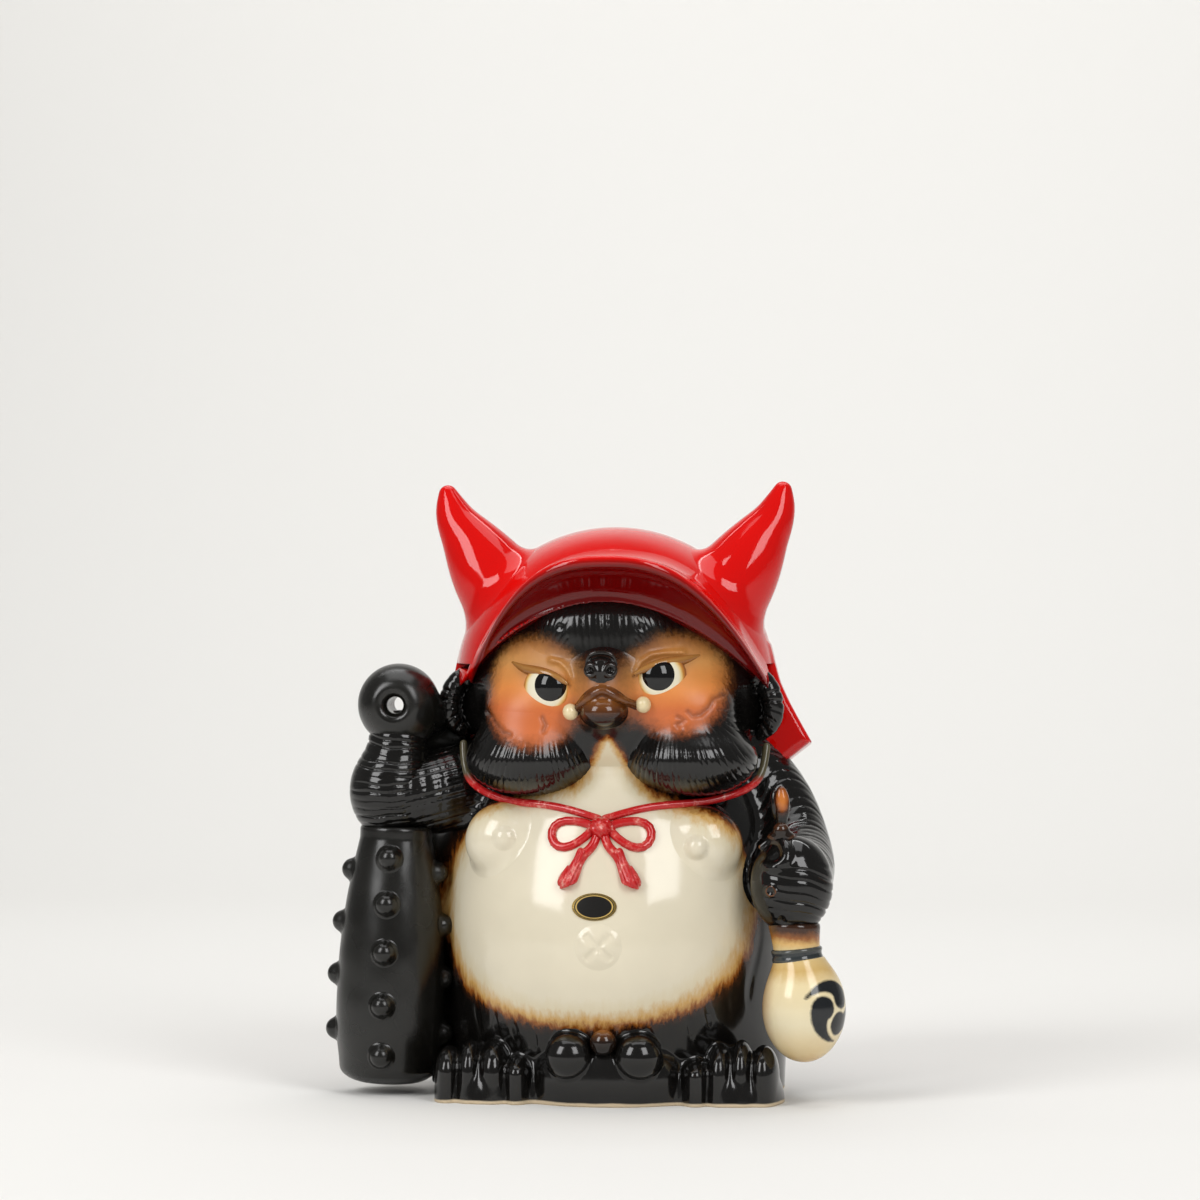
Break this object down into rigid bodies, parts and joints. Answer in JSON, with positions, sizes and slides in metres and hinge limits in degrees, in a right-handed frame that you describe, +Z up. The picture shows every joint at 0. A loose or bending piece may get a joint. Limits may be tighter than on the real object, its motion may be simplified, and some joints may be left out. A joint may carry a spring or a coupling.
{
  "type": "raccoon dog statue",
  "caption": "Seated raccoon dog figure of glazed stoneware in a horned helmet, holding a studded club and a drawstring pouch; hollow, open at the foot.",
  "frame": {"origin": "middle of the outline on the plane that the figure stands on", "axes": "+Z up, -Y the way the figure faces, +X towards the pouch (the viewer's right)"},
  "size_m": [0.2557, 0.1827, 0.2982],
  "materials": {
    "fur_glaze": "gloss",
    "belly_glaze": "gloss",
    "face_glaze": "gloss",
    "helmet_glaze": "gloss",
    "lip_glaze": "gloss",
    "cream_glaze": "gloss",
    "pupil_glaze": "gloss",
    "cord_glaze": "gloss",
    "pouch_glaze": "gloss",
    "label_foil": "gloss foil face"
  },
  "bodies": {
    "root": {"torso_front": "belly_glaze", "torso_back": "fur_glaze", "head_front": "face_glaze", "head_back": "fur_glaze", "helmet_bowl": "helmet_glaze", "helmet_brim": "helmet_glaze", "neck_guard": "helmet_glaze", "horn_left": "helmet_glaze", "horn_right": "helmet_glaze", "ear_left": "fur_glaze", "ear_right": "fur_glaze", "muzzle": "face_glaze", "forelock": "fur_glaze", "jowl_left": "fur_glaze", "jowl_right": "fur_glaze", "nose": "lip_glaze", "upper_lip": "lip_glaze", "lower_lip": "lip_glaze", "fang_left": "cream_glaze", "fang_right": "cream_glaze", "eye_left": "cream_glaze", "eye_right": "cream_glaze", "pupil_left": "pupil_glaze", "pupil_right": "pupil_glaze", "brow_left": "cream_glaze", "brow_right": "cream_glaze", "chin_cord_left": "cord_glaze", "chin_cord_right": "cord_glaze", "bow_knot": "cord_glaze", "bow_loop_left": "cord_glaze", "bow_loop_right": "cord_glaze", "bow_tail_left": "cord_glaze", "bow_tail_right": "cord_glaze", "tassel_left": "cord_glaze", "tassel_right": "cord_glaze", "breast_left": "belly_glaze", "breast_right": "belly_glaze", "nipple_left": "belly_glaze", "nipple_right": "belly_glaze", "navel": "belly_glaze", "foil_label": "label_foil", "arm_left": "fur_glaze", "fist_left": "fur_glaze", "club_pommel": "fur_glaze", "club_shaft": "fur_glaze", "club_studs": "fur_glaze", "arm_right": "fur_glaze", "fist_right": "fur_glaze", "toggle": "lip_glaze", "toggle_bead": "fur_glaze", "pouch_mouth": "pouch_glaze", "pouch_tie": "fur_glaze", "pouch_bag": "pouch_glaze", "foot_left": "fur_glaze", "foot_right": "fur_glaze", "sack_left": "fur_glaze", "sack_right": "fur_glaze", "sack_knob": "lip_glaze", "tail": "fur_glaze"}
  },
  "joints": []
}
